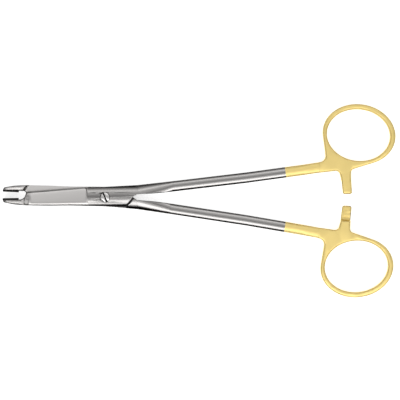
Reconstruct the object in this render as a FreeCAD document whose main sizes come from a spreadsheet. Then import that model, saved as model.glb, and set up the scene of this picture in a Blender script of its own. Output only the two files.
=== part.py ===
import FreeCAD, Part
import math
import os
import Sketcher

# Needle holder with suture scissors behind its jaws, 165 mm long, lying on its back.
# Millimetres. X runs from the jaws to the finger rings, Y across, Z up to the viewer.
# The origin is on the screw's axis, at the back of the joint.
# The two levers are twins turned over about the instrument's centreline. Both are drawn in
# one half frame: x along the closed instrument, y away from the centreline on the handle's
# side, z away from the plane where the halves meet, towards the lever's own half.

V = FreeCAD.Vector
doc = FreeCAD.newDocument("needle_holder")

# Driving dimensions: word, value, what it measures
SIZES = [
    ("joint_thickness", 5.0, "over the domed faces of the joint"),
    ("dome_radius", 7.2, "curve of the joint's faces across the instrument"),
    ("centre_offset", 0.3, "from the screw's axis to the centreline"),
    ("open_angle", 3.6, "between the levers as they lie, degrees"),
    ("lap_gap", 0.05, "running gap between the two halves of the joint"),
    ("jaw_tip_depth", 1.45, "centreline to the outer edge at the jaw tip"),
    ("jaw_length", 10.0, "jaw tip ahead of the blade's nose"),
    ("jaw_root_depth", 3.2, "centreline to the outer edge at the jaw's root"),
    ("blade_depth", 3.48, "centreline to the outer edge along the scissor blade"),
    ("joint_depth", 4.4, "centreline to the outer edge at the joint's shoulder"),
    ("jaw_tip_thickness", 3.0, "across the jaw tip, front to back"),
    ("jaw_root_thickness", 4.5, "across the jaw's root, front to back"),
    ("jaw_taper_length", 12.4, "jaw's taper, front and back, from its tip"),
    ("nose_reach", 32.9, "screw axis to the blade's nose"),
    ("nose_height", 2.3, "centreline to the cutting edge at the nose"),
    ("front_throat", 2.2, "front lever's throat, from the nose towards the tip"),
    ("back_throat", 0.5, "back lever's throat, from the nose towards the tip"),
    ("edge_height", 3.92, "centreline to the cutting edge at the joint"),
    ("blade_end_reach", 7.3, "screw axis to the end of the ground blade"),
    ("blade_thickness", 1.75, "ground blade, from the lap plane out"),
    ("blade_tilt", 8.0, "the blade thins towards its cutting edge, degrees"),
    ("blade_ramp", 0.6, "run-out of the grinding wheel at the joint"),
    ("edge_level", 0.95, "lap plane to the foot of the cutting edge's bevel"),
    ("edge_slant", 50.0, "lean of the cutting edge's bevel, degrees"),
    ("nose_dip", 0.7, "run-out of the grinding wheel at the nose, below the blade's face"),
    ("shoulder_reach", 8.4, "screw axis to the shoulder at the outer edge"),
    ("shoulder_run", 3.45, "shoulder's slant along the instrument"),
    ("shoulder_gap", 0.55, "closed gap in front of the shoulder"),
    ("jaw_step_run", 1.42, "step's slant along the instrument"),
    ("jaw_step_gap", 0.38, "closed gap in front of the blade's nose"),
    ("jaw_step_hollow", 0.45, "rounded foot of the step behind the jaw"),
    ("waist_height", 4.1, "centreline to the joint's edge beside the screw"),
    ("joint_end", 13.4, "screw axis to the start of the shank"),
    ("joint_end_low", 0.7, "centreline to the shank's inner side at its start"),
    ("joint_end_width", 3.92, "shank's width at its start"),
    ("shank_blend", 15.0, "length in which the joint's section turns into the shank's"),
    ("shank_thickness", 3.9, "shank, front to back"),
    ("shank_width", 4.4, "shank, across"),
    ("shank_dome", 3.4, "curve of the shank's faces across it"),
    ("shank_corner", 0.3, "broken corner between the shank's faces and sides"),
    ("shank_offset", 3.86, "centreline to the shank's axis behind that length"),
    ("shank_bow", 0.33, "shank's bow towards the centreline at its middle"),
    ("handle_thickness", 4.5, "ring and web, front to back"),
    ("shank_end_offset", 10.9, "centreline to the shank's axis at the web"),
    ("ring_reach", 106.48, "screw axis to the middle of the finger hole"),
    ("ring_offset", 24.17, "centreline to the middle of the finger hole"),
    ("hole_half_length", 13.28, "finger hole"),
    ("hole_half_width", 10.78, "finger hole"),
    ("hole_toe_in", 8.0, "tilt of the finger hole, degrees"),
    ("band_side", 2.0, "ring band at its ends"),
    ("band_crown", 1.8, "ring band at its sides"),
    ("band_shift_out", 0.25, "ring's outside lies this far from the hole's middle, along x"),
    ("band_shift_up", 0.3, "the same, across"),
    ("ring_toe_in", 11.0, "tilt of the ring's outside, degrees"),
    ("rim_bevel", 0.5, "broken edges of the ring, web and arm"),
    ("near_turn", 194.6, "where the web leaves the ring's near side, degrees on its ellipse"),
    ("far_turn", -58.0, "where the web leaves the ring's far side, degrees on its ellipse"),
    ("web_fillet", 2.6, "hollow between the shank and the ring"),
    ("arm_back", 4.98, "finger hole's middle back to the ratchet arm's axis"),
    ("arm_width", 3.85, "ratchet arm"),
    ("front_arm_pass", 0.45, "front arm's end past the centreline"),
    ("back_arm_pass", 1.0, "back arm's end past the centreline"),
    ("tooth_count", 3, "ratchet teeth on each arm"),
    ("tooth_pitch", 1.5, "ratchet teeth"),
    ("tooth_depth", 0.6, "ratchet teeth"),
    ("insert_length", 6.6, "hard-metal jaw insert"),
    ("insert_thickness", 0.68, "hard-metal jaw insert"),
    ("insert_gap", 0.02, "insert's face to the centreline, closed"),
    ("serration_pitch", 0.55, "grooves across the insert"),
    ("serration_depth", 0.14, "grooves across the insert"),
    ("screw_head_radius", 2.05, "slotted head"),
    ("screw_head_height", 1.3, "slotted head"),
    ("screw_neck_radius", 1.45, "plain neck that the front lever turns on"),
    ("screw_tail_radius", 1.15, "threaded tail in the back lever"),
    ("screw_run_gap", 0.06, "radial gap round the neck and the head"),
    ("thread_gap", 0.015, "radial gap round the tail"),
    ("slot_width", 0.65, "screwdriver slot"),
    ("slot_depth", 0.7, "screwdriver slot"),
    ("slot_angle", -66.4, "slot's direction in the photograph, degrees"),
    ("land_depth", 0.15, "ground off the back of the joint, level with the screw's tail"),
]

sheet = doc.addObject("Spreadsheet::Sheet", "sizes")
for row, (word, value, meaning) in enumerate(SIZES, start=1):
    sheet.set(f"A{row}", word)
    sheet.set(f"B{row}", str(value))
    sheet.set(f"C{row}", meaning)
    sheet.setAlias(f"B{row}", word)
doc.recompute()


def size(word):
    return float(sheet.get(word))


HALF = size("joint_thickness") / 2
MID = HALF - size("land_depth")
LAP = size("lap_gap") / 2
FAR = 3 * size("joint_thickness")


# Small helpers for sketches and edges

def new_sketch(body, name, role, offset=V(0, 0, 0)):
    """A sketch on one of the body's own origin planes, moved by offset in that plane's axes."""
    sketch = body.newObject("Sketcher::SketchObject", name)
    plane = [item for item in body.Origin.OriginFeatures if item.Role == role][0]
    sketch.AttachmentSupport = [(plane, "")]
    sketch.MapMode = "FlatFace"
    sketch.AttachmentOffset = FreeCAD.Placement(offset, FreeCAD.Rotation())
    return sketch


def chain(points, closed=True):
    """Lines through (x, y, radius) points, each corner rounded by an arc of its radius."""
    curves = []
    count = len(points)
    last_end = None
    first_start = None
    inner = range(count) if closed else range(1, count - 1)
    if not closed:
        last_end = V(points[0][0], points[0][1], 0)
    for index in inner:
        here = V(points[index][0], points[index][1], 0)
        radius = points[index][2]
        back = V(points[index - 1][0], points[index - 1][1], 0) - here
        ahead_point = points[(index + 1) % count]
        ahead = V(ahead_point[0], ahead_point[1], 0) - here
        back.normalize()
        ahead.normalize()
        half_angle = back.getAngle(ahead) / 2
        run = radius / math.tan(half_angle)
        start = here + back * run
        end = here + ahead * run
        if last_end is not None and (start - last_end).Length > 1e-6:
            curves.append(Part.LineSegment(last_end, start))
        if radius > 0:
            middle_way = back + ahead
            middle_way.normalize()
            middle = here + middle_way * (radius / math.sin(half_angle) - radius)
            curves.append(Part.Arc(start, middle, end))
        if first_start is None:
            first_start = start
        last_end = end
    if closed:
        curves.append(Part.LineSegment(last_end, first_start))
    else:
        curves.append(Part.LineSegment(last_end, V(points[-1][0], points[-1][1], 0)))
    return curves


def extrude(body, kind, name, profile, length, side="One side", reverse=False):
    """A Pad or Pocket of a sketch. length is a number or an expression of the sheet."""
    feature = body.newObject("PartDesign::" + kind, name)
    feature.Profile = profile
    feature.Type = "Length"
    feature.SideType = side
    feature.Reversed = reverse
    if isinstance(length, str):
        feature.setExpression("Length", length)
    else:
        feature.Length = length
    doc.recompute()
    return feature


def pick(shape, wanted):
    """Names of the edges whose middle point passes the test."""
    names = []
    for index, edge in enumerate(shape.Edges, start=1):
        middle = edge.valueAt((edge.FirstParameter + edge.LastParameter) / 2)
        if wanted(edge, middle):
            names.append(f"Edge{index}")
    return names


def bevel_edges(body, name, base, edges, size_word):
    feature = body.newObject("PartDesign::Chamfer", name)
    feature.Base = (base, edges)
    feature.setExpression("Size", "sizes." + size_word)
    doc.recompute()
    return feature


# Outlines in the half frame

def shoulder_x(y, gap=0.0):
    """Slanted shoulder beside the joint, on the handle's side of the centreline."""
    slope = size("shoulder_run") / size("joint_depth")
    return size("shoulder_reach") + slope * (size("joint_depth") - y) + gap


def jaw_step_x(y, gap=0.0):
    """Slanted step where the jaw thins to the blade, on the jaw's side (y below zero)."""
    slope = size("jaw_step_run") / size("nose_height")
    return -size("nose_reach") - slope * (size("nose_height") + y) - gap


def jaw_tip_x():
    return -size("nose_reach") - size("jaw_length")


def fore_outline(throat):
    """Jaw, blade and joint of one lever, seen from its own side."""
    tip = jaw_tip_x()
    seat = -size("insert_thickness") - size("insert_gap")
    tip_depth = size("jaw_tip_depth")
    nose = -size("nose_reach")
    root = nose - 0.6
    side = -size("blade_depth")
    joint_low = -size("joint_depth")
    reach = size("shoulder_reach")
    end = size("joint_end")
    end_low = size("joint_end_low")
    gentle = 60.0
    return [
        (tip, seat, 0.05),
        (tip + 0.45, -tip_depth - 0.35, 0.6),
        (tip + 4.6, -tip_depth - 1.25, 9.0),
        (root, -size("jaw_root_depth"), 25.0),
        (root + size("jaw_length"), side, gentle),
        (root / 2 + 2.0, side - 0.05, gentle),
        (reach, joint_low, 0.25),
        (reach + 0.93 * size("shoulder_run"), 0.07 * joint_low, 0.3),
        (end, end_low, 0.0),
        (end, end_low + size("joint_end_width"), 0.0),
        (0.0, size("waist_height"), gentle),
        (-size("blade_end_reach"), size("edge_height"), 6.0),
        (nose, size("nose_height"), 0.35),
        (nose - 0.38 * throat, 0.8 - 0.32 * throat, 1.2),
        (nose - throat, seat, 1.1),
    ]


def make_body(name):
    body = doc.addObject("PartDesign::Body", name)
    body.Label = name
    return body


def add_fore(body, throat):
    outline = new_sketch(body, "fore_outline", "XY_Plane")
    outline.addGeometry(chain(fore_outline(throat)), False)
    pad = extrude(body, "Pad", "fore", outline, "sizes.joint_thickness", "Symmetric")
    return pad


def add_dome(body):
    """The joint and blade are domed across, front and back alike."""
    radius = size("dome_radius")
    side = size("joint_depth") + 0.6
    drop = radius - math.sqrt(radius ** 2 - side ** 2)
    behind = jaw_tip_x() - 1.0
    profile = new_sketch(body, "dome_profile", "YZ_Plane", V(0, 0, behind))
    for face in (1, -1):
        crown = V(0, face * HALF, 0)
        left = V(-side, face * (HALF - drop), 0)
        right = V(side, face * (HALF - drop), 0)
        top_left = V(-side, face * FAR, 0)
        top_right = V(side, face * FAR, 0)
        profile.addGeometry(Part.Arc(left, crown, right), False)
        profile.addGeometry(Part.LineSegment(right, top_right), False)
        profile.addGeometry(Part.LineSegment(top_right, top_left), False)
        profile.addGeometry(Part.LineSegment(top_left, left), False)
    length = size("joint_end") - behind + 1.0
    return extrude(body, "Pocket", "dome", profile, length, "One side", True)


def add_jaw_taper(body):
    """The jaw thins towards its tip, front and back alike."""
    tip = jaw_tip_x()
    start = tip + size("jaw_taper_length")
    root_half = size("jaw_root_thickness") / 2
    tip_half = size("jaw_tip_thickness") / 2
    run_out = 14.0
    gentle = 30.0
    profile = new_sketch(body, "jaw_taper_profile", "XZ_Plane")
    for face in (1, -1):
        corners = [
            (tip - 1.0, face * (tip_half - 0.5), 0.0),
            (tip + 0.2, face * tip_half, 1.5),
            (start, face * root_half, gentle),
            (start + run_out, face * (HALF + 0.05), 0.0),
            (start + run_out, face * FAR, 0.0),
            (tip - 1.0, face * FAR, 0.0),
        ]
        profile.addGeometry(chain(corners), False)
    return extrude(body, "Pocket", "jaw_taper", profile, 2 * FAR, "Symmetric")


def add_blade_grind(body):
    """The blade's face is ground flat. The wheel runs out at the joint and dips at the nose."""
    nose = -size("nose_reach")
    end = -size("blade_end_reach")
    face = size("blade_thickness")
    ramp = size("blade_ramp")
    dip = size("nose_dip")
    wheel = 2.4
    profile = new_sketch(body, "blade_profile", "XZ_Plane")
    tilt = FreeCAD.Rotation(V(1, 0, 0), -size("blade_tilt"))
    profile.AttachmentOffset = FreeCAD.Placement(V(0, 0, 0), tilt)
    corners = [
        (nose - 3.3 * dip, face + dip, 0.0),
        (nose - 0.2, face - dip, wheel),
        (nose + 2.6 * dip, face, wheel),
        (end - ramp, face, 1.0),
        (end, face + ramp, 0.0),
        (end, FAR, 0.0),
        (nose - 3.3 * dip, FAR, 0.0),
    ]
    profile.addGeometry(chain(corners), False)
    return extrude(body, "Pocket", "blade_grind", profile, 2 * FAR, "Symmetric")


def add_cutting_edge(body):
    """Bevel along the blade's cutting edge."""
    nose = V(-size("nose_reach"), size("nose_height"), 0)
    heel = V(-size("blade_end_reach"), size("edge_height"), 0)
    along = (heel - nose).normalize()
    ahead = nose - along
    behind = heel - along * 2 * size("blade_ramp")
    outline = new_sketch(body, "edge_outline", "XY_Plane", V(0, 0, size("edge_level")))
    corners = [
        (ahead.x, ahead.y, 0.0),
        (behind.x, behind.y, 0.0),
        (behind.x, 2 * heel.y, 0.0),
        (ahead.x, 2 * heel.y, 0.0),
    ]
    outline.addGeometry(chain(corners), False)
    bevel = extrude(body, "Pocket", "cutting_edge", outline, size("edge_level"), reverse=True)
    bevel.setExpression("TaperAngle", "sizes.edge_slant")
    doc.recompute()
    return bevel


def domed_section(body, name, x, low, high, crown, radius, half_thickness, corner):
    """Section across the shank: domed front and back, upright sides, corners cut off.

    The dome's axis is at y = crown, and there it reaches half_thickness from the lap plane.
    """
    axis = V(crown, half_thickness - radius, 0)

    def on_dome(y):
        return V(y, axis.y + math.sqrt(radius ** 2 - (y - crown) ** 2), 0)

    def on_side(y, dome_end):
        return V(y, dome_end.y - corner, 0)

    def under(point):
        return V(point.x, -point.y, 0)

    low_dome = on_dome(low + corner)
    high_dome = on_dome(high - corner)
    low_side = on_side(low, low_dome)
    high_side = on_side(high, high_dome)
    crest_way = low_dome + high_dome - axis * 2
    crest_way.normalize()
    crest = axis + crest_way * radius
    section = new_sketch(body, name, "YZ_Plane", V(0, 0, x))
    section.addGeometry([
        Part.Arc(low_dome, crest, high_dome),
        Part.LineSegment(high_dome, high_side),
        Part.LineSegment(high_side, under(high_side)),
        Part.LineSegment(under(high_side), under(high_dome)),
        Part.Arc(under(high_dome), under(crest), under(low_dome)),
        Part.LineSegment(under(low_dome), under(low_side)),
        Part.LineSegment(under(low_side), low_side),
        Part.LineSegment(low_side, low_dome),
    ], False)
    return section


def shank_offset_at(share):
    """Centreline to the shank's axis, from the end of the blend (0) to the web (1)."""
    straight = size("shank_offset") + share * (size("shank_end_offset") - size("shank_offset"))
    return straight - 4 * size("shank_bow") * share * (1 - share)


def add_shank(body):
    """Slim domed shank that grows out of the joint and ends square in the web."""
    start = size("joint_end")
    low = size("joint_end_low")
    high = low + size("joint_end_width")
    blend = size("shank_blend")
    straight = start + blend
    end = web_start() + 0.3
    wide = size("shank_width")
    half = size("shank_thickness") / 2
    dome = size("shank_dome")
    corner = size("shank_corner")
    offset = shank_offset_at(0)
    middle_low = (low + offset - wide / 2) / 2 - 0.15
    middle_high = (high + offset + wide / 2) / 2
    inset = 0.04
    rooted = 0.3
    sections = [
        (start - rooted, low + inset, high - inset, 0.0, size("dome_radius"), HALF - inset,
         corner / 4),
        (start + blend / 2, middle_low, middle_high, offset / 2,
         (size("dome_radius") + dome) / 2, (HALF + half) / 2, corner),
    ]
    for share in (0.0, 0.5, 0.88):
        offset = shank_offset_at(share)
        x = straight + share * (end - straight)
        sections.append((x, offset - wide / 2, offset + wide / 2, offset, dome, half, corner))
    offset = size("shank_end_offset")
    end_half = size("handle_thickness") / 2 - 0.02
    sections.append((end, offset - wide / 2, offset + wide / 2, offset, 5 * dome, end_half,
                     size("rim_bevel")))
    sketches = []
    for index, values in enumerate(sections):
        sketches.append(domed_section(body, f"shank_section_{index}", *values))
    loft = body.newObject("PartDesign::AdditiveLoft", "shank")
    loft.Profile = sketches[0]
    loft.Sections = sketches[1:]
    loft.Ruled = True
    doc.recompute()
    return loft


def add_lap_cut(body):
    """The other lever's half of the joint is cleared, from the jaw's step to the shoulder."""
    high = 2 * size("joint_depth")
    gap = size("jaw_step_gap")
    clear = size("shoulder_gap")
    outline = new_sketch(body, "lap_outline", "XY_Plane", V(0, 0, LAP))
    corners = [
        (jaw_step_x(-high, gap), -high, 0.0),
        (shoulder_x(-high, clear), -high, 0.0),
        (shoulder_x(high, clear), high, 0.0),
        (jaw_step_x(high, gap), high, 0.0),
    ]
    outline.addGeometry(chain(corners), False)
    cut = extrude(body, "Pocket", "lap_cut", outline, FAR)

    def is_step_foot(edge, middle):
        beside = -size("nose_reach") - size("jaw_step_run") - 1 < middle.x < 3 - size("nose_reach")
        return beside and abs(middle.z - LAP) < 1e-4 and abs(
            middle.x - jaw_step_x(middle.y, gap)) < 1e-3

    foot = body.newObject("PartDesign::Fillet", "jaw_step")
    foot.Base = (cut, pick(cut.Shape, is_step_foot))
    foot.setExpression("Radius", "sizes.jaw_step_hollow")
    doc.recompute()
    return foot


# Finger ring, web and ratchet arm

def on_ellipse(centre, long_half, short_half, tilt, turn):
    """Point of a tilted ellipse at its own angle turn, radians."""
    along = long_half * math.cos(turn)
    across = short_half * math.sin(turn)
    x = centre.x + along * math.cos(tilt) - across * math.sin(tilt)
    y = centre.y + along * math.sin(tilt) + across * math.cos(tilt)
    return V(x, y, 0)


def ring_outside():
    """Outside of the ring as centre, half length, half width and tilt."""
    centre = V(size("ring_reach") + size("band_shift_out"),
               size("ring_offset") + size("band_shift_up"), 0)
    long_half = size("hole_half_length") + size("band_side")
    short_half = size("hole_half_width") + size("band_crown")
    return centre, long_half, short_half, -math.radians(size("ring_toe_in"))


def leave_ring(turn):
    """Where the web leaves the ring's outside at its angle turn, and the direction there."""
    outside = ring_outside()
    return on_ellipse(*outside, turn), on_ellipse(*outside, turn + math.pi / 2) - outside[0]


def web_corner():
    """Corner between the ring's near side and the shank's outer edge, before its rounding."""
    point, along = leave_ring(math.radians(size("near_turn")))
    level = size("shank_end_offset") + size("shank_width") / 2 + 0.25
    return point + along * ((level - point.y) / along.y)


def web_start():
    return web_corner().x - size("web_fillet") - 0.3


def add_handle(body, arm_pass):
    """Finger ring, web and ratchet arm in one outline, thick as the ring."""
    near_turn = math.radians(size("near_turn"))
    far_turn = math.radians(size("far_turn"))
    near, _ = leave_ring(near_turn)
    far, along = leave_ring(far_turn)
    start = web_start()
    heel = web_corner()
    low = size("shank_end_offset") - size("shank_width") / 2 - 0.05
    high = size("shank_end_offset") + size("shank_width") / 2 + 0.05
    arm = size("ring_reach") - size("arm_back")
    half_arm = size("arm_width") / 2
    arm_right = arm + half_arm - 0.35
    toe = far + along * ((arm_right - far.x) / along.x)
    route = [
        (near.x, near.y, 0.0),
        (heel.x, heel.y, size("web_fillet")),
        (start, high, 0.0),
        (start, low, 0.0),
        (arm - half_arm - 1.4, low + 0.8, 1.8),
        (arm - half_arm - 0.55, low - 3.0, 8.0),
        (arm - half_arm, -arm_pass, 0.8),
        (arm + half_arm, -arm_pass, 0.8),
        (arm + half_arm - 0.3, low - 4.0, 8.0),
        (arm_right, toe.y, 1.6),
        (far.x, far.y, 0.0),
    ]
    outside = ring_outside()
    ellipse = Part.Ellipse(on_ellipse(*outside, 0), on_ellipse(*outside, math.pi / 2), outside[0])
    middle = V(size("ring_reach"), size("ring_offset"), 0)
    inside = (middle, size("hole_half_length"), size("hole_half_width"),
              -math.radians(size("hole_toe_in")))
    hole = Part.Ellipse(on_ellipse(*inside, 0), on_ellipse(*inside, math.pi / 2), middle)
    outline = new_sketch(body, "handle_outline", "XY_Plane")
    outline.addGeometry(chain(route, closed=False), False)
    outline.addGeometry(Part.ArcOfEllipse(ellipse, far_turn, near_turn), False)
    outline.addGeometry(hole, False)
    pad = extrude(body, "Pad", "handle", outline, "sizes.handle_thickness", "Symmetric")
    thick = size("handle_thickness")

    def is_rim(edge, middle):
        return abs(abs(middle.z) - thick / 2) < 1e-4 and middle.x > start + 0.01

    return bevel_edges(body, "handle_rim", pad, pick(pad.Shape, is_rim), "rim_bevel")


def add_ratchet(body, arm_pass):
    """The arm is thinned to its own half, with sloping teeth across its inner face."""
    base = LAP + size("tooth_depth")
    root = size("shank_end_offset") - size("shank_width") / 2 - 2.0
    arm = size("ring_reach") - size("arm_back")
    beside = arm + size("arm_width")
    profile = new_sketch(body, "arm_cut_profile", "YZ_Plane", V(0, 0, beside))
    corners = [
        (-3.0, base, 0.0),
        (root - 1.6, base, 1.0),
        (root, -FAR, 0.0),
        (-3.0, -FAR, 0.0),
    ]
    profile.addGeometry(chain(corners), False)
    extrude(body, "Pocket", "arm_cut", profile, 2.0 * size("arm_width"))
    first = -arm_pass + 0.35
    pitch = size("tooth_pitch")
    wide = size("arm_width") - 1.1
    tooth_sketch = new_sketch(body, "tooth_profile", "YZ_Plane",
                              V(0, 0, arm + 0.1))
    tooth = [
        (first, base + 0.1, 0.0),
        (first, base, 0.0),
        (first + 0.25 * pitch, LAP, 0.0),
        (first + pitch, base, 0.0),
        (first + pitch, base + 0.1, 0.0),
    ]
    tooth_sketch.addGeometry(chain(tooth), False)
    pad = extrude(body, "Pad", "tooth", tooth_sketch, wide, "Symmetric")
    teeth = body.newObject("PartDesign::LinearPattern", "teeth")
    axis = [item for item in body.Origin.OriginFeatures if item.Role == "Y_Axis"][0]
    teeth.Originals = [pad]
    teeth.Direction = (axis, [""])
    teeth.Mode = "Spacing"
    teeth.setExpression("Offset", "sizes.tooth_pitch")
    teeth.setExpression("Occurrences", "sizes.tooth_count")
    body.Tip = teeth
    doc.recompute()
    return teeth


def add_round_hole(body, name, centre_y, level, radius_rule, depth):
    """A round pocket down from the given level, its radius bound to the sheet."""
    circle = new_sketch(body, name + "_circle", "XY_Plane", V(0, 0, level))
    circle.addGeometry(Part.Circle(V(0, centre_y, 0), V(0, 0, 1), 1.0), False)
    at = circle.addConstraint(Sketcher.Constraint("Radius", 0, 1.0))
    circle.addConstraint(Sketcher.Constraint("DistanceY", -1, 1, 0, 3, centre_y))
    circle.addConstraint(Sketcher.Constraint("PointOnObject", 0, 3, -2))
    circle.setExpression(f"Constraints[{at}]", radius_rule)
    return extrude(body, "Pocket", name, circle, depth)


def add_land(body, face):
    """A flat ground along the back of the joint, where the screw's tail ends."""
    profile = new_sketch(body, "land_profile", "XZ_Plane")
    left = -size("blade_end_reach") - 2.0
    right = size("joint_end") + size("shank_width")
    corners = [
        (left, face * MID, 0.0),
        (right, face * MID, 0.0),
        (right, face * FAR, 0.0),
        (left, face * FAR, 0.0),
    ]
    profile.addGeometry(chain(corners), False)
    return extrude(body, "Pocket", "back_land", profile, 2 * FAR, "Symmetric")


def place_half(body, side):
    """Side 1 is the front lever, -1 the back one, turned over about the centreline."""
    turn_over = FreeCAD.Placement(V(0, 0, 0), FreeCAD.Rotation(V(1, 0, 0), 0 if side > 0 else 180))
    lift = FreeCAD.Placement(V(0, size("centre_offset"), MID), FreeCAD.Rotation())
    swing = FreeCAD.Placement(V(0, 0, 0), FreeCAD.Rotation(V(0, 0, 1), side * size("open_angle") / 2))
    body.Placement = swing.multiply(lift).multiply(turn_over)


def make_lever(name, side, arm_pass, throat):
    body = make_body(name)
    add_fore(body, throat)
    add_dome(body)
    add_jaw_taper(body)
    add_blade_grind(body)
    add_cutting_edge(body)
    add_shank(body)
    add_lap_cut(body)
    add_handle(body, arm_pass)
    add_ratchet(body, arm_pass)
    add_land(body, -side)
    screw_y = -side * size("centre_offset")
    if side > 0:
        add_round_hole(body, "neck_bore", screw_y, FAR,
                       "sizes.screw_neck_radius + sizes.screw_run_gap", 2 * FAR)
        add_round_hole(body, "head_seat", screw_y, FAR,
                       "sizes.screw_head_radius + sizes.screw_run_gap",
                       FAR - HALF + size("screw_head_height") + LAP)
    else:
        add_round_hole(body, "tapped_hole", screw_y, FAR,
                       "sizes.screw_tail_radius + sizes.thread_gap", 2 * FAR)
    place_half(body, side)
    return body


def make_insert(name, side):
    """Hard-metal plate brazed on the jaw, grooved across its gripping face."""
    body = make_body(name)
    length = size("insert_length")
    tip = jaw_tip_x()
    thick = size("insert_thickness")
    face = -size("insert_gap")
    outline = new_sketch(body, "plate_outline", "XY_Plane")
    corners = [
        (tip, face - thick, 0.0),
        (tip + length, face - thick, 0.0),
        (tip + length, face, 0.15),
        (tip, face, 0.2),
    ]
    outline.addGeometry(chain(corners), False)
    extrude(body, "Pad", "plate", outline, "sizes.jaw_tip_thickness - 0.3", "Symmetric")
    groove_sketch = new_sketch(body, "groove_profile", "XY_Plane")
    first = tip + 0.5
    depth = size("serration_depth")
    groove = [
        (first - depth, face + 0.01, 0.0),
        (first, face - depth, 0.0),
        (first + depth, face + 0.01, 0.0),
    ]
    groove_sketch.addGeometry(chain(groove), False)
    pocket = extrude(body, "Pocket", "groove", groove_sketch, FAR, "Symmetric")
    grooves = body.newObject("PartDesign::LinearPattern", "grooves")
    axis = [item for item in body.Origin.OriginFeatures if item.Role == "X_Axis"][0]
    grooves.Originals = [pocket]
    grooves.Direction = (axis, [""])
    grooves.Mode = "Spacing"
    grooves.setExpression("Offset", "sizes.serration_pitch")
    grooves.setExpression("Occurrences", "floor((sizes.insert_length - 0.9) / sizes.serration_pitch)")
    body.Tip = grooves
    doc.recompute()
    place_half(body, side)
    return body


def make_screw():
    """Slotted head in the front lever, neck through it, tail threaded into the back lever."""
    body = make_body("pivot_screw")
    head = size("screw_head_radius")
    neck = size("screw_neck_radius")
    tail = size("screw_tail_radius")
    top = MID + HALF - 0.03
    under = MID + HALF - size("screw_head_height")
    meet = MID - LAP
    broken_edge = 0.15
    profile = new_sketch(body, "turned_profile", "XZ_Plane")
    corners = [
        (0.0, 0.0, 0.0),
        (tail, 0.0, 0.0),
        (tail, meet, 0.0),
        (neck, meet, 0.0),
        (neck, under, 0.0),
        (head, under, 0.0),
        (head, top - broken_edge, 0.0),
        (head - broken_edge, top, 0.0),
        (0.0, top, 0.0),
    ]
    profile.addGeometry(chain(corners), False)
    turned = body.newObject("PartDesign::Revolution", "turned")
    axis = [item for item in body.Origin.OriginFeatures if item.Role == "Z_Axis"][0]
    turned.Profile = profile
    turned.ReferenceAxis = (axis, [""])
    turned.Angle = 360
    doc.recompute()
    slot = new_sketch(body, "slot_outline", "XY_Plane", V(0, 0, top + 1.0))
    wide = size("slot_width") / 2
    angle = math.radians(size("slot_angle"))
    along = V(math.cos(angle), math.sin(angle), 0) * (head + 1.0)
    across = V(-math.sin(angle), math.cos(angle), 0) * wide
    points = [along + across, -along + across, -along - across, along - across]
    slot.addGeometry(chain([(p.x, p.y, 0.0) for p in points]), False)
    extrude(body, "Pocket", "slot", slot, size("slot_depth") + 1.0)
    return body


parts = [
    make_lever("front_lever", 1, size("front_arm_pass"), size("front_throat")),
    make_lever("back_lever", -1, size("back_arm_pass"), size("back_throat")),
    make_screw(),
    make_insert("front_jaw_insert", 1),
    make_insert("back_jaw_insert", -1),
]
doc.recompute()

# Nothing is written unless every object is sound
for item in doc.Objects:
    if "Invalid" in item.State or "Error" in item.State:
        raise RuntimeError(f"{item.Name} failed: {item.State}")
for body in parts:
    shape = body.Shape
    if shape.isNull() or not shape.isValid() or len(shape.Solids) != 1:
        raise RuntimeError(f"{body.Label} is not one sound solid")

os.makedirs("parts", exist_ok=True)
for body in parts:
    body.Shape.exportStep(f"parts/{body.Label}.step")
    box = body.Shape.BoundBox
    print(f"{body.Label}: {body.Shape.Volume:.1f} mm3, x {box.XMin:.2f} {box.XMax:.2f}, "
          f"y {box.YMin:.2f} {box.YMax:.2f}, z {box.ZMin:.2f} {box.ZMax:.2f}")
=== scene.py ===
import math

import bpy
from bpy.props import FloatProperty, FloatVectorProperty, PointerProperty
from bpy.types import Operator, Panel, PropertyGroup
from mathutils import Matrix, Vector


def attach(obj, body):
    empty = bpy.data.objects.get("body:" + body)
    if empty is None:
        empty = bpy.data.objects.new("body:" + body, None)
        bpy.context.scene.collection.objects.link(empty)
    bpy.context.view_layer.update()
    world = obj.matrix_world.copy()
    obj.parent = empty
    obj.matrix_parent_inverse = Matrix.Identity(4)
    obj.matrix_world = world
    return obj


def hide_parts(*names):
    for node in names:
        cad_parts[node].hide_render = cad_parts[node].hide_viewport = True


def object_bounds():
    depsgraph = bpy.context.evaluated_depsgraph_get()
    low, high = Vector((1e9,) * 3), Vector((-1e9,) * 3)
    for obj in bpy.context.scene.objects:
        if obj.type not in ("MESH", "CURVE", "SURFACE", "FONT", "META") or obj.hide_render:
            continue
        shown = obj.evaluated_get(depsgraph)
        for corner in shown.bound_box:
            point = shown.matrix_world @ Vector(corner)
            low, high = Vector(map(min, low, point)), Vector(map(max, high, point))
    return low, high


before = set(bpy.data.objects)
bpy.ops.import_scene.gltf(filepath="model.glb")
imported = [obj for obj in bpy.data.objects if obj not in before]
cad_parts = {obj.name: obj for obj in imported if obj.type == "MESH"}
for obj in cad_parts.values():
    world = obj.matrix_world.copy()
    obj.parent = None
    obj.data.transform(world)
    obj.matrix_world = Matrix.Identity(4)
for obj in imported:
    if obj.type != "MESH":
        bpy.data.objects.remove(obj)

bl_info = {
    "name": "Needle holder finishes",
    "version": (1, 0, 0),
    "blender": (4, 5, 0),
    "location": "3D View > Sidebar > Needle Holder",
    "description": "Finishes, floor, light and camera for a needle holder with suture scissors",
    "category": "Object",
}

CAD_LOW, CAD_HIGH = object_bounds()
FRONT_BODY = "front_half"
BACK_BODY = "back_half"
MM = 0.001

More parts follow.
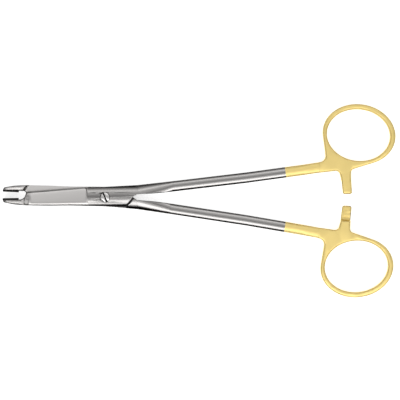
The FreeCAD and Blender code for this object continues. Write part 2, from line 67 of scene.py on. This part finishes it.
# Where the CAD's dome lies: its axis beside the screw, and the joint's and the shank's curves
CREST_OFFSET = 0.3 * MM
SHANK_START = 13.4 * MM
SHANK_EVEN = 28.4 * MM
SHANK_OFFSET = 3.86 * MM
JOINT_DOME = 7.2 * MM
SHANK_DOME = 3.4 * MM
STEEPEST_LEAN = 0.6
CREST_SOFT = 1.0 * MM

# The domed face, from nothing to all of it: by its height, how upright it is, and along the lever
DOME_HEIGHT = (3.2 * MM, 3.25 * MM)
DOME_UPRIGHT = (0.77, 0.78)
DOME_FRONT = (-7.2 * MM, -7.1 * MM)
DOME_END = (SHANK_EVEN, SHANK_EVEN - 4.0 * MM)

# Stretches of a lever along from the screw, the jaws at the low end: from, to, softness
JOINT_STRETCH = (-7.2 * MM, 14.0 * MM, 0.2 * MM)
NOSE_STRETCH = (-34.5 * MM, -32.0 * MM, 0.8 * MM)
LAP_STRETCH = (-32.0 * MM, -7.3 * MM, 0.3 * MM)

# Lines across a lever, from nothing to all of the part beyond them
JAW_LINE = (-33.0 * MM, -36.0 * MM)
GROUND_LINE = (-7.1 * MM, -7.4 * MM)
FORE_LINE = (14.0 * MM, 12.0 * MM)
GOLD_LINE_SOFT = 0.1 * MM

# Painted shade, a mottled dark spot at the foot of the step behind the jaw: its middle, and from
# its rim to its core
SHADE_SPOT_ALONG = -32.4 * MM
SHADE_SPOT_BESIDE = 0.6 * MM
SHADE_SPOT_REACH = (1.7 * MM, 0.7 * MM)

# Painted dark reflections on the edges, as outlines from nothing to full, by how upright the
# polished face is
FORE_OUTLINE = (0.895, 0.85)
NEAR_OUTLINE = (0.90, 0.86)
FAR_OUTLINE = (0.84, 0.72)
WALL_UPRIGHT = (0.05, 0.2)
FACES_FAR = (-0.1, 0.1)

# The same by how much polishing turned the face, as the cosine of the turn
BLADE_TURN = (0.985, 0.93)
JAW_TURN = (0.96, 0.90)

# How dark the outlines are on the near and the far edges, and how much less dark at the nose
# and less rounded at the lap
STEEL_OUTLINES = (0.98, 0.7)
GOLD_OUTLINE = 0.2
NOSE_LESS = 0.85
LAP_LESS = 0.95
# Colour of the painted dark reflections on the edges
PAINTED_EDGE_COLOUR = (0.02, 0.018, 0.015)

# Painted shade in gaps and creases and in the screw's slot: how far it reaches, and the share of
# open air from black to clear
LEVER_GAP = 1.2 * MM
FRONT_GAPS = (0.42, 0.88)
BACK_GAPS = (0.34, 0.74)
GOLD_OPEN = 0.7
GAP_SHADE_COLOUR = (0.015, 0.014, 0.013)
SLOT_GAP = 0.9 * MM
SLOT_GAPS = (0.62, 1.0)
SLOT_SHADE_COLOUR = (0.01, 0.01, 0.01)

# Rays that each pixel takes to find the rounded edges and the gaps
EDGE_SAMPLES = 16
GAP_SAMPLES = 6

# Textures: stretch along the axes, scale and detail
GRAIN = ((0.25, 2.0, 1.0), 2200.0, 4.0)
STREAKS = ((0.03, 1.0, 1.0), 3500.0, 2.0)
MOTTLE = ((1.0, 1.0, 1.0), 900.0, 3.0)
SCREW_GRAIN = ((1.0, 1.0, 1.0), 3000.0, 3.0)
INSERT_GRAIN = ((1.0, 1.0, 1.0), 5000.0, 3.0)

# Darker and lighter tints of each finish, as shares of its colour
STEEL_TINTS = (0.9, 1.0)
# Darker tints over the joint
JOINT_DARKER_TINTS = (0.75, 0.95)
# Lighter tints for painted light on the ground blades, the back one lightest
FRONT_BLADE_LIT_TINTS = (1.43, 1.58)
BACK_BLADE_LIT_TINTS = (1.8, 1.95)
GOLD_TINTS = (0.94, 1.0)
SCREW_TINTS = (0.92, 1.0)
INSERT_TINTS = (0.7, 1.0)
# Tint of the painted shade at the step
SHADE_SPOT_TINT = 0.55

# Share of painted shade in the dark spot: the mottle's range, then the least and the most shade
SHADE_SPOT_MOTTLE = (0.35, 0.6, 0.3, 0.8)

# Roughness, for satin steel after the grain's range that it follows
SATIN_ROUGHNESS = (0.3, 0.7, 0.16, 0.24)
GROUND_ROUGHNESS = 0.34
GOLD_ROUGHNESS = 0.5
SCREW_ROUGHNESS = 0.28
INSERT_ROUGHNESS = 0.45

# Crown of the screw's polish: lean of the normal for each metre from the middle
SCREW_CROWN = 220.0

# Brightness of the studio: across from the near wall (0) over the ceiling (0.5) to the far
# wall (1), and up from the horizon (0) to the ceiling (1)
WALLS = ((0.0, 0.03), (0.07, 0.07), (0.13, 0.72), (0.17, 0.95), (0.25, 0.98), (0.34, 1.0),
         (0.39, 0.90), (0.445, 0.56), (0.5, 0.26), (0.55, 0.54), (0.60, 0.70), (0.66, 0.76),
         (0.76, 0.88), (0.86, 0.80), (0.92, 0.62), (1.0, 0.45))
HORIZON = ((0.0, 0.03), (0.38, 0.10), (0.6, 0.85), (0.8, 1.0))

# Softboxes: place, then length and width
NEAR_SOFTBOX = ((0.04, -0.21, 0.27), (0.6, 0.15))
FAR_SOFTBOX = ((0.04, 0.21, 0.27), (0.6, 0.08))
SOFTBOX_AIM = Vector((0.04, 0.0, 0.0))

# Floor and picture
FLOOR_SIZE = 6.0
FLOOR_GLOW = 0.68
PICTURE_MIDDLE = (39.753 * MM, -0.475 * MM)
PICTURE_PIXELS = 400
FARTHEST = 20.0

# Clean-up of the CAD's meshes
MERGE_DISTANCE = 0.001 * MM
CRISP_ANGLE = math.radians(24)


# Settings that a user would change

class FinishSettings(PropertyGroup):
    steel_colour: FloatVectorProperty(
        name="Satin steel", description="Levers, from the jaws to the gold",
        default=(0.43, 0.418, 0.41), subtype="COLOR", min=0.0, max=1.0)
    gold_colour: FloatVectorProperty(
        name="Gold plate", description="Finger rings and the ends of the shanks",
        default=(1.0, 0.79, 0.31), subtype="COLOR", min=0.0, max=1.0)
    screw_colour: FloatVectorProperty(
        name="Screw", description="Polished pivot screw",
        default=(0.74, 0.73, 0.72), subtype="COLOR", min=0.0, max=1.0)
    insert_colour: FloatVectorProperty(
        name="Hard metal", description="Serrated jaw inserts",
        default=(0.035, 0.033, 0.033), subtype="COLOR", min=0.0, max=1.0)
    gold_start: FloatProperty(
        name="Gold start", description="Distance from the screw to the edge of the gold plate",
        default=0.0762, unit="LENGTH", min=0.0)
    edge_round: FloatProperty(
        name="Edge rounding", description="How far the polish rounds the levers' edges",
        default=0.45 * MM, unit="LENGTH", min=0.0, precision=5)
    blade_round: FloatProperty(
        name="Blade rounding", description="How far the polish rounds the blades' outer edges",
        default=1.5 * MM, unit="LENGTH", min=0.0, precision=5)
    jaw_round: FloatProperty(
        name="Jaw rounding", description="How far the polish rounds the jaws' edges",
        default=2.8 * MM, unit="LENGTH", min=0.0, precision=5)
    gold_round: FloatProperty(
        name="Ring rounding", description="How far the plated rings' edges are rounded",
        default=1.0 * MM, unit="LENGTH", min=0.0, precision=5)
    shank_angle: FloatProperty(
        name="Shank angle", description="Angle of each shank to the centreline as it lies",
        default=math.radians(8.3), subtype="ANGLE")
    half_opening: FloatProperty(
        name="Half opening", description="Turn of each lever from the closed place as it lies",
        default=math.radians(1.8), subtype="ANGLE")


class StageSettings(PropertyGroup):
    lower_light: FloatProperty(
        name="Near softbox", description="How bright the near softbox looks", default=1.9, min=0.0)
    upper_light: FloatProperty(
        name="Far softbox", description="How bright the far softbox looks", default=0.75, min=0.0)
    floor_colour: FloatVectorProperty(
        name="Floor", description="Plain pale floor",
        default=(0.86, 0.86, 0.86), subtype="COLOR", min=0.0, max=1.0)
    pixel: FloatProperty(
        name="Pixel", description="Size of one pixel of the 400-pixel picture at the object",
        default=0.4201 * MM, unit="LENGTH", precision=6)
    roll: FloatProperty(
        name="Camera roll", description="Turn of the picture about the line of sight",
        default=math.radians(0.95), subtype="ANGLE")
    distance: FloatProperty(
        name="Camera distance", description="Camera to floor",
        default=0.95, unit="LENGTH")


# Small helpers

def deselect():
    if bpy.context.object and bpy.context.object.mode != "OBJECT":
        bpy.ops.object.mode_set(mode="OBJECT")
    bpy.ops.object.select_all(action="DESELECT")


def choose(piece):
    deselect()
    piece.select_set(True)
    bpy.context.view_layer.objects.active = piece


def copy_of_node(node, name):
    """A copy of a CAD node's mesh as a new piece, merged, with smooth rounds and crisp edges."""
    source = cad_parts[node]
    choose(source)
    bpy.ops.object.duplicate()
    piece = bpy.context.object
    piece.name = name
    piece.data.name = name
    bpy.ops.object.mode_set(mode="EDIT")
    bpy.ops.mesh.select_all(action="SELECT")
    bpy.ops.mesh.remove_doubles(threshold=MERGE_DISTANCE)
    bpy.ops.object.mode_set(mode="OBJECT")
    bpy.ops.object.shade_smooth_by_angle(angle=CRISP_ANGLE)
    weighted = piece.modifiers.new("weighted", "WEIGHTED_NORMAL")
    weighted.keep_sharp = True
    bpy.ops.object.modifier_apply(modifier=weighted.name)
    return piece


def finish_piece(piece, body, material, node):
    piece.data.materials.clear()
    piece.data.materials.append(material)
    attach(piece, body)
    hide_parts(node)


def new_material(name):
    material = bpy.data.materials.new(name)
    material.use_nodes = True
    material.node_tree.nodes.clear()
    return material


def add_node(tree, kind, **values):
    node = tree.nodes.new(kind)
    for key, value in values.items():
        setattr(node, key, value)
    return node


def link(tree, source, target):
    tree.links.new(source, target)


def metal_shader(tree):
    shader = add_node(tree, "ShaderNodeBsdfPrincipled")
    shader.inputs["Metallic"].default_value = 1.0
    output = add_node(tree, "ShaderNodeOutputMaterial")
    link(tree, shader.outputs["BSDF"], output.inputs["Surface"])
    return shader


def object_coordinates(tree, scale=(1.0, 1.0, 1.0), turn=0.0):
    coordinates = add_node(tree, "ShaderNodeTexCoord")
    mapping = add_node(tree, "ShaderNodeMapping")
    mapping.inputs["Scale"].default_value = scale
    mapping.inputs["Rotation"].default_value = (0.0, 0.0, turn)
    link(tree, coordinates.outputs["Object"], mapping.inputs["Vector"])
    return mapping.outputs["Vector"]


def noise(tree, stretch, scale, detail):
    texture = add_node(tree, "ShaderNodeTexNoise")
    texture.inputs["Scale"].default_value = scale
    texture.inputs["Detail"].default_value = detail
    link(tree, object_coordinates(tree, stretch), texture.inputs["Vector"])
    return texture.outputs["Fac"]


def ease(tree, value, start, end, low=0.0, high=1.0):
    """Smooth change from low at the value start to high at the value end."""
    step = add_node(tree, "ShaderNodeMapRange", interpolation_type="SMOOTHSTEP")
    step.inputs["From Min"].default_value = start
    step.inputs["From Max"].default_value = end
    step.inputs["To Min"].default_value = low
    step.inputs["To Max"].default_value = high
    link(tree, value, step.inputs["Value"])
    return step.outputs["Result"]


def less(tree, mask, share):
    """One outside the mask, and less by the share inside it."""
    return ease(tree, mask, 0.0, 1.0, 1.0, 1.0 - share)


def combine(tree, operation, first, second):
    """Math of two values, where the second may be a number."""
    node = add_node(tree, "ShaderNodeMath", operation=operation)
    link(tree, first, node.inputs[0])
    if isinstance(second, float):
        node.inputs[1].default_value = second
    else:
        link(tree, second, node.inputs[1])
    return node.outputs["Value"]


def linear(tree, value, start, end, low, high):
    """Straight change from low at the value start to high at the value end."""
    step = add_node(tree, "ShaderNodeMapRange")
    step.inputs["From Min"].default_value = start
    step.inputs["From Max"].default_value = end
    step.inputs["To Min"].default_value = low
    step.inputs["To Max"].default_value = high
    link(tree, value, step.inputs["Value"])
    return step.outputs["Result"]


def between(tree, value, low, high, soft):
    """One between low and high and nothing outside, with soft edges."""
    rise = ease(tree, value, low - soft, low + soft)
    fall = ease(tree, value, high - soft, high + soft, 1.0, 0.0)
    return combine(tree, "MULTIPLY", rise, fall)


def mix_values(tree, factor, first, second):
    """Mix of two values, each a number or the output of another node."""
    mix = add_node(tree, "ShaderNodeMix")
    link(tree, factor, mix.inputs["Factor"])
    for value, name in ((first, "A"), (second, "B")):
        if isinstance(value, bpy.types.NodeSocket):
            link(tree, value, mix.inputs[name])
        else:
            mix.inputs[name].default_value = value
    return mix.outputs["Result"]


def mix_colours(tree, factor, first, second):
    """Mix of two colours, each a tuple or the output of another node."""
    mix = add_node(tree, "ShaderNodeMix", data_type="RGBA")
    link(tree, factor, mix.inputs["Factor"])
    for colour, name in ((first, "A"), (second, "B")):
        if isinstance(colour, bpy.types.NodeSocket):
            link(tree, colour, mix.inputs[name])
        else:
            mix.inputs[name].default_value = (*colour, 1.0)
    return mix.outputs["Result"]


def shade_of(colour, share):
    return tuple(min(1.0, channel * share) for channel in colour)


def tinted(tree, factor, colour, tints):
    """Colour between its darker and its lighter tint."""
    return mix_colours(tree, factor, *(shade_of(colour, share) for share in tints))


def split_axes(tree, vector):
    split = add_node(tree, "ShaderNodeSeparateXYZ")
    link(tree, vector, split.inputs["Vector"])
    return split.outputs


def normal_of(tree, vector):
    unit = add_node(tree, "ShaderNodeVectorMath", operation="NORMALIZE")
    link(tree, vector, unit.inputs[0])
    return unit.outputs["Vector"]


def crevice_shade(tree, reach, deep, open_air):
    """Share of colour left clear of the painted shade: nothing deep in a gap, one in the open."""
    occlusion = add_node(tree, "ShaderNodeAmbientOcclusion", samples=GAP_SAMPLES)
    occlusion.inputs["Distance"].default_value = reach
    return ease(tree, occlusion.outputs["AO"], deep, open_air)


# Materials

def domed_normal(tree, side):
    """True normal of the domed joint and shank, and the part of the lever where it holds.

    The dome's crest runs along the joint, then slants outwards while the dome gets narrower.
    """
    turn = side * bpy.context.scene.needle_finish.half_opening
    own = split_axes(tree, object_coordinates(tree, turn=-turn))
    crest = linear(tree, own["X"], SHANK_START, SHANK_EVEN, CREST_OFFSET,
                   CREST_OFFSET + side * SHANK_OFFSET)
    radius = linear(tree, own["X"], SHANK_START, SHANK_EVEN, JOINT_DOME, SHANK_DOME)
    height = combine(tree, "SUBTRACT", own["Y"], crest)
    lean = combine(tree, "DIVIDE", height, radius)
    lean = linear(tree, lean, -STEEPEST_LEAN, STEEPEST_LEAN, -STEEPEST_LEAN, STEEPEST_LEAN)
    up = add_node(tree, "ShaderNodeMath", operation="MULTIPLY_ADD")
    link(tree, lean, up.inputs[0])
    link(tree, combine(tree, "MULTIPLY", lean, -1.0), up.inputs[1])
    up.inputs[2].default_value = 1.0
    slope = between(tree, own["X"], SHANK_START, SHANK_EVEN, CREST_SOFT)
    slope = combine(tree, "MULTIPLY", slope,
                    -side * SHANK_OFFSET / (SHANK_EVEN - SHANK_START) - math.tan(turn))
    normal = add_node(tree, "ShaderNodeCombineXYZ")
    link(tree, combine(tree, "MULTIPLY", lean, slope), normal.inputs["X"])
    link(tree, lean, normal.inputs["Y"])
    link(tree, combine(tree, "SQRT", up.outputs["Value"], 0.0), normal.inputs["Z"])
    geometry = add_node(tree, "ShaderNodeNewGeometry")
    flat = split_axes(tree, geometry.outputs["True Normal"])["Z"]
    holds = combine(tree, "MULTIPLY", ease(tree, flat, *DOME_UPRIGHT),
                    ease(tree, own["Z"], *DOME_HEIGHT))
    reach = combine(tree, "MULTIPLY", ease(tree, own["X"], *DOME_FRONT),
                    ease(tree, own["X"], *DOME_END))
    mix = add_node(tree, "ShaderNodeMix", data_type="VECTOR")
    link(tree, combine(tree, "MULTIPLY", holds, reach), mix.inputs["Factor"])
    link(tree, geometry.outputs["Normal"], mix.inputs["A"])
    link(tree, normal.outputs["Vector"], mix.inputs["B"])
    return normal_of(tree, mix.outputs["Result"])


def lever_zones(tree, side):
    """Masks of the lever's zones, each one inside its zone and nothing outside.

    Fore is all that lies ahead of the shank. Outer is the ground part, but on the back lever
    without its lapped blade. Only the front lever has a nose, and only the back one a lap.
    """
    finish = bpy.context.scene.needle_finish
    place = split_axes(tree, object_coordinates(tree))["X"]
    along = split_axes(tree, object_coordinates(tree, turn=-side * finish.shank_angle))["X"]
    zones = {
        "gold": ease(tree, along, finish.gold_start, finish.gold_start + GOLD_LINE_SOFT),
        "joint": between(tree, place, *JOINT_STRETCH),
        "jaw": ease(tree, place, *JAW_LINE),
        "ground": ease(tree, place, *GROUND_LINE),
        "fore": ease(tree, place, *FORE_LINE),
    }
    if side > 0:
        zones["nose"] = between(tree, place, *NOSE_STRETCH)
        zones["outer"] = zones["ground"]
    else:
        zones["lap"] = between(tree, place, *LAP_STRETCH)
        zones["outer"] = combine(tree, "MULTIPLY", zones["ground"], less(tree, zones["lap"], 1.0))
    return zones


def polished_normal(tree, side, zones, smooth):
    """Normal with rounded edges, most of all at the jaws, and hardly at the lapped blade."""
    finish = bpy.context.scene.needle_finish
    radius = mix_values(tree, zones["gold"], finish.edge_round, finish.gold_round)
    radius = mix_values(tree, zones["ground"], radius, finish.blade_round)
    radius = mix_values(tree, zones["jaw"], radius, finish.jaw_round)
    if side < 0:
        radius = combine(tree, "MULTIPLY", radius, less(tree, zones["lap"], LAP_LESS))
    rounded = add_node(tree, "ShaderNodeBevel", samples=EDGE_SAMPLES)
    link(tree, smooth, rounded.inputs["Normal"])
    link(tree, radius, rounded.inputs["Radius"])
    return rounded.outputs["Normal"]


def outlines(tree, side, zones, smooth, rounded):
    """How dark the painted reflections on the slanting and rounded edges are."""
    facing = split_axes(tree, rounded)
    upright = facing["Z"]
    is_far = ease(tree, facing["Y"], *FACES_FAR)
    on_shank = mix_values(tree, is_far, ease(tree, upright, *NEAR_OUTLINE),
                          ease(tree, upright, *FAR_OUTLINE))
    starts = mix_values(tree, zones["fore"], on_shank, ease(tree, upright, *FORE_OUTLINE))
    slanting = combine(tree, "MULTIPLY", starts, ease(tree, upright, *WALL_UPRIGHT))
    if side > 0:
        slanting = combine(tree, "MULTIPLY", slanting, less(tree, zones["nose"], NOSE_LESS))
    turn = add_node(tree, "ShaderNodeVectorMath", operation="DOT_PRODUCT")
    link(tree, smooth, turn.inputs[0])
    link(tree, rounded, turn.inputs[1])
    near_edge = mix_values(tree, zones["jaw"], ease(tree, turn.outputs["Value"], *BLADE_TURN),
                           ease(tree, turn.outputs["Value"], *JAW_TURN))
    near_edge = combine(tree, "MULTIPLY", near_edge, zones["outer"])
    strength = mix_values(tree, zones["gold"], ease(tree, is_far, 0.0, 1.0, *STEEL_OUTLINES),
                          GOLD_OUTLINE)
    return combine(tree, "MULTIPLY", combine(tree, "MAXIMUM", slanting, near_edge), strength)


def shade_spot_share(tree, side):
    """Mottled painted shade at the foot of the step behind the jaw."""
    from_spot = add_node(tree, "ShaderNodeVectorMath", operation="DISTANCE")
    link(tree, object_coordinates(tree, (1.0, 1.0, 0.0)), from_spot.inputs[0])
    from_spot.inputs[1].default_value = (SHADE_SPOT_ALONG, -side * SHADE_SPOT_BESIDE, 0.0)
    spot = ease(tree, from_spot.outputs["Value"], *SHADE_SPOT_REACH)
    return combine(tree, "MULTIPLY", spot, ease(tree, noise(tree, *MOTTLE), *SHADE_SPOT_MOTTLE))


def lever_material(name, side):
    """Satin steel that turns to gold plate at a sharp line across the shank."""
    finish = bpy.context.scene.needle_finish
    material = new_material(name)
    tree = material.node_tree
    shader = metal_shader(tree)
    zones = lever_zones(tree, side)
    smooth = domed_normal(tree, side)
    rounded = polished_normal(tree, side, zones, smooth)
    link(tree, rounded, shader.inputs["Normal"])

    # Painted shade: the colour darkens where ambient occlusion finds a gap or crease
    open_share = crevice_shade(tree, LEVER_GAP, *(FRONT_GAPS if side > 0 else BACK_GAPS))
    open_share = combine(tree, "MAXIMUM", open_share,
                         combine(tree, "MULTIPLY", zones["gold"], GOLD_OPEN))
    grain = noise(tree, *GRAIN)
    steel = tinted(tree, grain, finish.steel_colour, STEEL_TINTS)
    # The joint gets a darker tint of the steel
    darker_joint = tinted(tree, grain, finish.steel_colour, JOINT_DARKER_TINTS)
    # Painted light: the ground blades get a lighter tint of the same steel
    blade = tinted(tree, noise(tree, *STREAKS), finish.steel_colour,
                   FRONT_BLADE_LIT_TINTS if side > 0 else BACK_BLADE_LIT_TINTS)
    gilt = tinted(tree, grain, finish.gold_colour, GOLD_TINTS)
    colour = mix_colours(tree, zones["joint"], steel, darker_joint)
    colour = mix_colours(tree, zones["ground"], colour, blade)
    # Painted shade: a mottled dark spot at the foot of the step behind the jaw
    colour = mix_colours(tree, shade_spot_share(tree, side), colour,
                         shade_of(finish.steel_colour, SHADE_SPOT_TINT))
    colour = mix_colours(tree, zones["gold"], colour, gilt)
    # Painted dark reflections along the edges, by how the face slants
    colour = mix_colours(tree, outlines(tree, side, zones, smooth, rounded), colour,
                         PAINTED_EDGE_COLOUR)
    colour = mix_colours(tree, open_share, GAP_SHADE_COLOUR, colour)
    link(tree, colour, shader.inputs["Base Color"])

    satin = ease(tree, grain, *SATIN_ROUGHNESS)
    matt = combine(tree, "MAXIMUM", combine(tree, "MULTIPLY", zones["ground"], GROUND_ROUGHNESS),
                   combine(tree, "MULTIPLY", zones["gold"], GOLD_ROUGHNESS))
    link(tree, combine(tree, "MAXIMUM", satin, matt), shader.inputs["Roughness"])
    return material


def screw_material(colour):
    """Polished head whose shading is slightly crowned, with painted shade in the slot."""
    material = new_material("polished_screw")
    tree = material.node_tree
    shader = metal_shader(tree)
    shader.inputs["Roughness"].default_value = SCREW_ROUGHNESS
    tint = tinted(tree, noise(tree, *SCREW_GRAIN), colour, SCREW_TINTS)
    # Painted shade: the slot goes black where ambient occlusion finds it deep
    open_share = crevice_shade(tree, SLOT_GAP, *SLOT_GAPS)
    link(tree, mix_colours(tree, open_share, SLOT_SHADE_COLOUR, tint), shader.inputs["Base Color"])
    crown = add_node(tree, "ShaderNodeVectorMath", operation="MULTIPLY_ADD")
    link(tree, object_coordinates(tree), crown.inputs[0])
    crown.inputs[1].default_value = (SCREW_CROWN, SCREW_CROWN, 0.0)
    geometry = add_node(tree, "ShaderNodeNewGeometry")
    link(tree, geometry.outputs["Normal"], crown.inputs[2])
    link(tree, normal_of(tree, crown.outputs["Vector"]), shader.inputs["Normal"])
    return material


def insert_material(colour):
    """Dark hard metal, dull, with a fine grain."""
    material = new_material("hard_metal")
    tree = material.node_tree
    shader = metal_shader(tree)
    shader.inputs["Roughness"].default_value = INSERT_ROUGHNESS
    link(tree, tinted(tree, noise(tree, *INSERT_GRAIN), colour, INSERT_TINTS),
         shader.inputs["Base Color"])
    return material


# Pieces

class NEEDLE_OT_levers(Operator):
    """Both levers, in satin steel with gold-plated rings"""
    bl_idname = "needle_holder.levers"
    bl_label = "Finish the levers"

    def execute(self, context):
        for node, body, side in (("front_lever", FRONT_BODY, 1), ("back_lever", BACK_BODY, -1)):
            piece = copy_of_node(node, node + "_finished")
            material = lever_material(node + "_steel_and_gold", side)
            finish_piece(piece, body, material, node)
        return {"FINISHED"}


class NEEDLE_OT_screw(Operator):
    """Slotted pivot screw, polished"""
    bl_idname = "needle_holder.screw"
    bl_label = "Finish the screw"

    def execute(self, context):
        finish = context.scene.needle_finish
        piece = copy_of_node("pivot_screw", "pivot_screw_finished")
        material = screw_material(finish.screw_colour)
        finish_piece(piece, BACK_BODY, material, "pivot_screw")
        return {"FINISHED"}


class NEEDLE_OT_inserts(Operator):
    """Serrated hard-metal inserts in the jaws"""
    bl_idname = "needle_holder.inserts"
    bl_label = "Finish the jaw inserts"

    def execute(self, context):
        finish = context.scene.needle_finish
        material = insert_material(finish.insert_colour)
        for node, body in (("front_jaw_insert", FRONT_BODY), ("back_jaw_insert", BACK_BODY)):
            piece = copy_of_node(node, node + "_finished")
            finish_piece(piece, body, material, node)
        return {"FINISHED"}


# Stage

def floor_material(colour):
    """Pale floor that keeps the shadow and looks white in the picture and in the metal."""
    material = new_material("pale_floor")
    tree = material.node_tree
    diffuse = add_node(tree, "ShaderNodeBsdfDiffuse")
    diffuse.inputs["Color"].default_value = (*colour, 1.0)
    path = add_node(tree, "ShaderNodeLightPath")
    seen = combine(tree, "MAXIMUM", path.outputs["Is Camera Ray"], path.outputs["Is Glossy Ray"])
    seen = combine(tree, "MAXIMUM", seen, path.outputs["Is Transmission Ray"])
    glow = add_node(tree, "ShaderNodeEmission")
    link(tree, combine(tree, "MULTIPLY", seen, FLOOR_GLOW), glow.inputs["Strength"])
    both = add_node(tree, "ShaderNodeAddShader")
    link(tree, diffuse.outputs["BSDF"], both.inputs[0])
    link(tree, glow.outputs["Emission"], both.inputs[1])
    output = add_node(tree, "ShaderNodeOutputMaterial")
    link(tree, both.outputs["Shader"], output.inputs["Surface"])
    return material


def studio_world():
    """Pale studio around the table: grey overhead, dark towards the horizon."""
    world = bpy.data.worlds.new("studio")
    world.use_nodes = True
    tree = world.node_tree
    background = tree.nodes["Background"]
    coordinates = add_node(tree, "ShaderNodeTexCoord")
    direction = split_axes(tree, coordinates.outputs["Generated"])
    walls = add_node(tree, "ShaderNodeValToRGB")
    link(tree, linear(tree, direction["Y"], -1.0, 1.0, 0.0, 1.0), walls.inputs["Fac"])
    set_ramp(walls, WALLS)
    height = add_node(tree, "ShaderNodeValToRGB")
    link(tree, direction["Z"], height.inputs["Fac"])
    set_ramp(height, HORIZON)
    light = add_node(tree, "ShaderNodeMix", data_type="RGBA", blend_type="MULTIPLY")
    light.inputs["Factor"].default_value = 1.0
    link(tree, walls.outputs["Color"], light.inputs["A"])
    link(tree, height.outputs["Color"], light.inputs["B"])
    link(tree, light.outputs["Result"], background.inputs["Color"])
    return world


def set_ramp(node, stops):
    """Grey stops of a colour ramp, as (place, brightness)."""
    elements = node.color_ramp.elements
    while len(elements) < len(stops):
        elements.new(0.5)
    for element, (place, grey) in zip(elements, stops):
        element.position = place
        element.color = (grey, grey, grey, 1.0)


def softbox(name, place, size, radiance):
    """Area lamp facing the object, its power worked out from how bright it looks."""
    bpy.ops.object.light_add(type="AREA", location=place)
    lamp = bpy.context.object
    lamp.name = name
    lamp.data.shape = "RECTANGLE"
    lamp.data.size = size[0]
    lamp.data.size_y = size[1]
    lamp.data.energy = radiance * math.pi * size[0] * size[1]
    towards = SOFTBOX_AIM - Vector(place)
    lamp.rotation_euler = towards.to_track_quat("-Z", "Y").to_euler()


class NEEDLE_OT_stage(Operator):
    """Floor, soft light and the camera straight above"""
    bl_idname = "needle_holder.stage"
    bl_label = "Set the stage"

    def execute(self, context):
        stage = context.scene.needle_stage
        deselect()
        bpy.ops.mesh.primitive_plane_add(size=FLOOR_SIZE, location=(0.0, 0.0, CAD_LOW.z))
        floor = context.object
        floor.name = "floor"
        floor.data.materials.append(floor_material(stage.floor_colour))

        context.scene.world = studio_world()
        softbox("lower_softbox", *NEAR_SOFTBOX, stage.lower_light)
        softbox("upper_softbox", *FAR_SOFTBOX, stage.upper_light)

        bpy.ops.object.camera_add(location=(*PICTURE_MIDDLE, stage.distance))
        camera = context.object
        camera.rotation_euler = (0.0, 0.0, stage.roll)
        width = PICTURE_PIXELS * stage.pixel
        camera.data.lens = camera.data.sensor_width * stage.distance / width
        camera.data.clip_end = FARTHEST
        context.scene.camera = camera
        context.scene.view_settings.view_transform = "Standard"
        return {"FINISHED"}


# Sidebar panel

class NEEDLE_PT_panel(Panel):
    """Finishes and stage of the needle holder"""
    bl_idname = "NEEDLE_PT_panel"
    bl_label = "Needle Holder"
    bl_space_type = "VIEW_3D"
    bl_region_type = "UI"
    bl_category = "Needle Holder"

    def draw(self, context):
        for settings in (context.scene.needle_finish, context.scene.needle_stage):
            for name in settings.__annotations__:
                self.layout.prop(settings, name)
        for operator in (NEEDLE_OT_levers, NEEDLE_OT_screw, NEEDLE_OT_inserts, NEEDLE_OT_stage):
            self.layout.operator(operator.bl_idname)


CLASSES = (
    FinishSettings, StageSettings, NEEDLE_OT_levers, NEEDLE_OT_screw, NEEDLE_OT_inserts,
    NEEDLE_OT_stage, NEEDLE_PT_panel,
)


def register():
    for cls in CLASSES:
        bpy.utils.register_class(cls)
    bpy.types.Scene.needle_finish = PointerProperty(type=FinishSettings)
    bpy.types.Scene.needle_stage = PointerProperty(type=StageSettings)


def unregister():
    del bpy.types.Scene.needle_stage
    del bpy.types.Scene.needle_finish
    for cls in reversed(CLASSES):
        bpy.utils.unregister_class(cls)


def main():
    register()
    bpy.ops.needle_holder.levers()
    bpy.ops.needle_holder.screw()
    bpy.ops.needle_holder.inserts()
    bpy.ops.needle_holder.stage()


if __name__ == "__main__":
    main()
